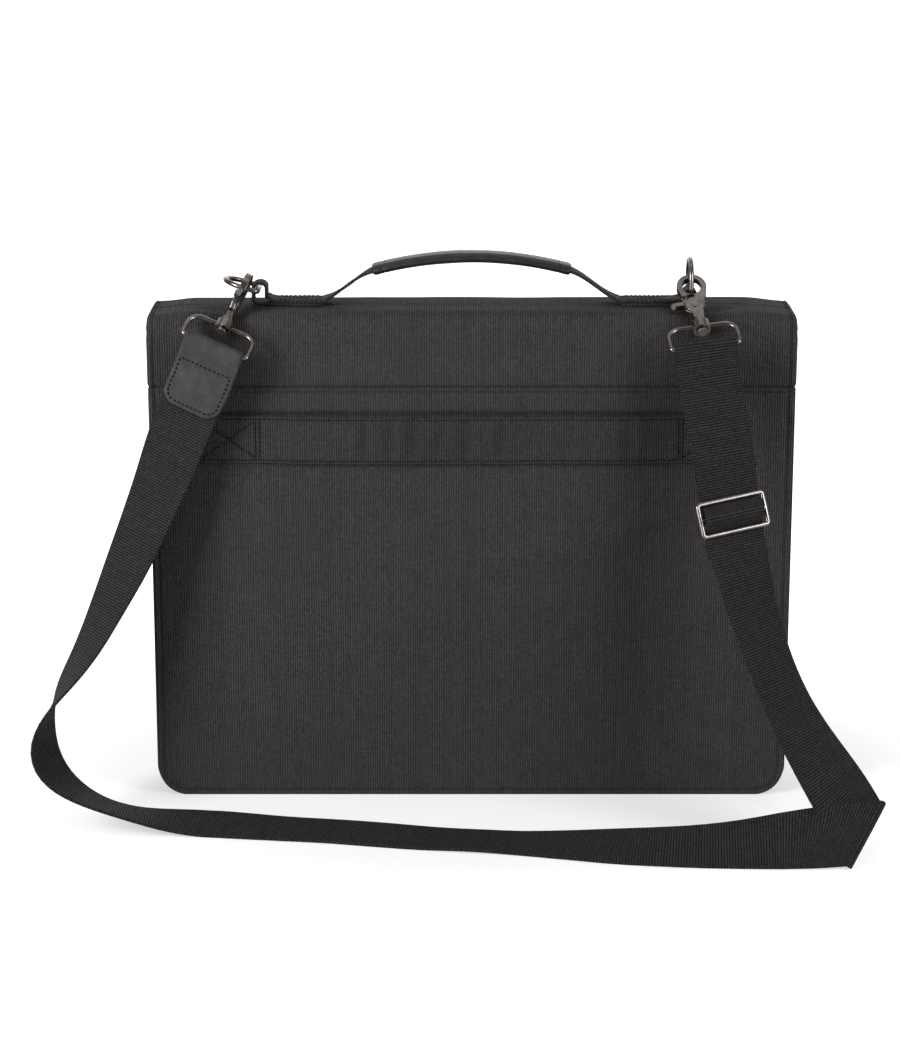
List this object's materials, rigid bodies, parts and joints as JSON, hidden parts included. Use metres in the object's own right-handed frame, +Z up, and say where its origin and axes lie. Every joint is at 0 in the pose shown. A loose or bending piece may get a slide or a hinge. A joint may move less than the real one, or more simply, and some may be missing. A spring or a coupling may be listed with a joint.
{
  "type": "portfolio case",
  "caption": "Slim black ballistic-nylon portfolio case with a flap lid, leather-wrapped handle, rear luggage band and a clip-on webbing shoulder strap.",
  "frame": {"origin": "bottom centre of the case body, on the surface it stands on", "axes": "+X along the case's length, -Y towards the luggage-band side, +Z up"},
  "size_m": [0.5193, 0.1947, 0.3462],
  "materials": {
    "nylon": "matte",
    "webbing": "matte",
    "lining": "matte",
    "foam": "matte",
    "board": "matte",
    "leather": "satin",
    "gunmetal": "satin",
    "nickel": "polished",
    "magnet": "satin"
  },
  "bodies": {
    "case": {"back_panel": "nylon", "flap_apron": "nylon", "front_panel": "nylon", "gusset": "nylon", "edge_binding_back": "nylon", "edge_binding_front": "nylon", "back_foam": "foam", "front_foam": "foam", "gusset_foam": "foam", "back_board": "board", "front_board": "board", "bottom_board": "board", "lining": "lining", "inner_pocket": "lining", "trolley_band": "nylon", "snap_socket_left": "magnet", "snap_socket_right": "magnet"},
    "flap_top": {"flap_top_skin": "nylon", "flap_top_plate": "board", "flap_top_lining": "lining", "ring_anchor_left": "webbing", "ring_anchor_right": "webbing"},
    "flap_front": {"flap_front_skin": "nylon", "flap_front_board": "board", "flap_front_lining": "lining", "snap_stud_left": "magnet", "snap_stud_right": "magnet"},
    "handle": {"handle_grip": "leather", "handle_core": "webbing", "handle_leg_left": "webbing", "handle_leg_right": "webbing"},
    "ring_left_body": {"ring_left": "gunmetal"},
    "ring_right_body": {"ring_right": "gunmetal"},
    "hook_loops": {"loop_left": "gunmetal", "loop_right": "gunmetal"},
    "hook_left_body": {"hook_left": "gunmetal", "hook_rivet_left": "gunmetal"},
    "hook_right_body": {"hook_right": "gunmetal", "hook_rivet_right": "gunmetal"},
    "trigger_left_body": {"trigger_left": "gunmetal"},
    "trigger_right_body": {"trigger_right": "gunmetal"},
    "strap": {"shoulder_strap": "webbing", "leather_tab": "leather"},
    "slider_body": {"slider": "nickel"}
  },
  "joints": [
    {"name": "flap_opening", "type": "hinge", "parent": "case", "child": "flap_top", "pos_m": [0, -0.03, 0.298], "axis": [1, 0, 0], "range_deg": [0, 90]},
    {"name": "flap_front_fold", "type": "hinge", "parent": "flap_top", "child": "flap_front", "pos_m": [0, 0.03, 0.2998], "axis": [1, 0, 0], "range_deg": [0, 90]},
    {"name": "handle_press", "type": "slide", "parent": "flap_top", "child": "handle", "axis": [0, 0, -1], "range_m": [0, 0.018], "stiffness_N_per_m": 200, "deforming": ["handle_leg_left", "handle_leg_right"]},
    {"name": "ring_left_swing", "type": "hinge", "parent": "flap_top", "child": "ring_left_body", "pos_m": [-0.1333, 0, 0.3236], "axis": [0, 1, 0], "range_deg": [-8, 8]},
    {"name": "ring_right_swing", "type": "hinge", "parent": "flap_top", "child": "ring_right_body", "pos_m": [0.1362, 0, 0.3209], "axis": [0, 1, 0], "range_deg": [-8, 8]},
    {"name": "hooks_hang", "type": "hinge", "parent": "flap_top", "child": "hook_loops", "pos_m": [0, -0.0121, 0.326], "axis": [1, 0, 0], "range_deg": [-18, 0]},
    {"name": "strap_hang", "type": "hinge", "parent": "hook_loops", "child": "strap", "pos_m": [-0.00747, -0.04871, 0.29637], "axis": [0.9999, -0.0121, 0.001], "range_deg": [-72, 0], "deforming": ["shoulder_strap", "leather_tab"]},
    {"name": "hook_left_swivel", "type": "hinge", "parent": "hook_loops", "child": "hook_left_body", "pos_m": [-0.15222, -0.03541, 0.30605], "axis": [-0.3381, -0.7151, -0.6119], "range_deg": [-8, 8]},
    {"name": "hook_right_swivel", "type": "hinge", "parent": "hook_loops", "child": "hook_right_body", "pos_m": [0.14057, -0.03774, 0.30633], "axis": [0.131, -0.7866, -0.6034], "range_deg": [-10, 10]},
    {"name": "trigger_left_press", "type": "hinge", "parent": "hook_left_body", "child": "trigger_left_body", "pos_m": [-0.14621, -0.02338, 0.31711], "axis": [-0.9171, 0.1044, 0.3848], "range_deg": [-22, 0], "stiffness_Nm_per_rad": 0.05},
    {"name": "trigger_right_press", "type": "hinge", "parent": "hook_right_body", "child": "trigger_right_body", "pos_m": [0.1377, -0.0241, 0.31676], "axis": [0.0489, 0.613, -0.7885], "range_deg": [-22, 0], "stiffness_Nm_per_rad": 0.05},
    {"name": "slider_adjust", "type": "slide", "parent": "strap", "child": "slider_body", "axis": [0.1421, -0.2661, -0.9534], "range_m": [-0.012, 0.012]}
  ],
  "couplings": [
    {"joint": "hooks_hang", "follows": "flap_opening", "ratio": -0.2},
    {"joint": "strap_hang", "follows": "flap_opening", "ratio": -0.8}
  ]
}
